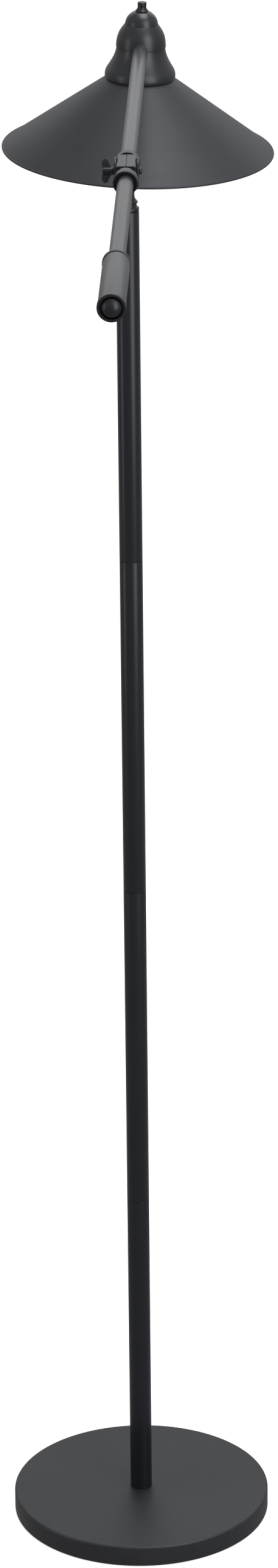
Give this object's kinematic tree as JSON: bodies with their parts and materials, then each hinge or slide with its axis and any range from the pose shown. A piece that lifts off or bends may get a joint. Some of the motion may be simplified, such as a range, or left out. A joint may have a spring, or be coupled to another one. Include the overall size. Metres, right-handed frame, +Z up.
{
  "type": "adjustable arm floor lamp",
  "caption": "Floor lamp with a round base, a straight post and a tilting, sliding, counterweighted arm that carries a cone shade under a bell cap.",
  "frame": {"origin": "centre of the base pad's underside, on the floor", "axes": "+Z up along the post; +Y along the arm towards the shade; +X to the right seen from the counterweight"},
  "size_m": [0.3215, 1.0784, 1.7044],
  "materials": {
    "textured_black": "fine-textured powder coat, satin",
    "post_black": "smooth satin powder coat",
    "fitting_black": "satin powder coat on cast fittings",
    "arm_black": "smooth semi-gloss graphite coat",
    "bell_black": "satin powder coat on spun aluminium",
    "shade_black": "matt powder coat on spun aluminium",
    "black_phenolic": "moulded phenolic",
    "black_nylon": "smooth nylon",
    "black_rubber": "matt rubber",
    "pad": "soft foam pad",
    "cast_weight": "rough casting",
    "zinc_steel": "zinc plated",
    "bulb_metal": "rolled screw cap",
    "brass": "bright stamping",
    "frosted_glass": "frosted"
  },
  "bodies": {
    "stand": {"base_pad": "pad", "bottom_plate": "zinc_steel", "base_weight": "cast_weight", "base_cover": "textured_black", "cord_gland": "black_rubber", "base_washer": "zinc_steel", "base_nut": "zinc_steel", "base_stud": "zinc_steel", "foot_insert": "zinc_steel", "post_section_1": "post_black", "post_section_2": "post_black", "post_section_3": "post_black", "post_section_4": "post_black", "post_coupler_1": "zinc_steel", "post_coupler_2": "zinc_steel", "post_coupler_3": "zinc_steel", "post_head": "fitting_black"},
    "head": {"yoke": "fitting_black", "swivel_stud": "zinc_steel", "swivel_washer": "zinc_steel", "swivel_nut": "zinc_steel"},
    "clamp": {"clamp_half_left": "fitting_black", "clamp_half_right": "fitting_black", "pivot_screw": "fitting_black", "wing_washer": "fitting_black"},
    "liner": {"clamp_liner": "black_nylon", "collar_front": "fitting_black", "collar_rear": "fitting_black"},
    "arm": {"arm_tube": "arm_black", "counterweight": "arm_black", "weight_ring_front": "fitting_black", "weight_ring_rear": "fitting_black", "weight_set_screw": "zinc_steel", "arm_end_plug": "fitting_black", "arm_insert": "zinc_steel", "shade_nipple": "zinc_steel", "nipple_nut": "zinc_steel", "bell_cap": "bell_black", "shade_cone": "shade_black", "holder_bracket": "zinc_steel", "bracket_screw": "zinc_steel", "lampholder": "black_phenolic", "holder_shell": "brass", "centre_contact": "brass", "shade_ring": "black_phenolic", "bulb_cap": "bulb_metal", "bulb_glass": "frosted_glass", "switch_body": "black_phenolic", "switch_nut": "zinc_steel"},
    "wing": {"wing_screw": "fitting_black"},
    "knob": {"switch_knob": "fitting_black"}
  },
  "joints": [
    {"name": "head_pan", "type": "hinge", "parent": "stand", "child": "head", "pos_m": [0, 0, 1.558], "axis": [0, 0, 1], "range_deg": [-175, 175]},
    {"name": "arm_tilt", "type": "hinge", "parent": "head", "child": "clamp", "pos_m": [0, 0, 1.5919], "axis": [1, 0, 0], "range_deg": [-38, 24]},
    {"name": "arm_roll", "type": "hinge", "parent": "clamp", "child": "liner", "pos_m": [0, 0, 1.5919], "axis": [0, 0.9917, 0.1288], "range_deg": [-90, 90]},
    {"name": "arm_slide", "type": "slide", "parent": "liner", "child": "arm", "axis": [0, 0.9917, 0.1288], "range_m": [-0.12, 0.2]},
    {"name": "wing_screw_turn", "type": "hinge", "parent": "clamp", "child": "wing", "pos_m": [0, 0, 1.5919], "axis": [1, 0, 0], "range_deg": [0, 270]},
    {"name": "switch_turn", "type": "hinge", "parent": "arm", "child": "knob", "pos_m": [-0.00527, 0.4854, 1.52808], "axis": [0.0419, -0.1062, 0.9935], "continuous": true}
  ]
}
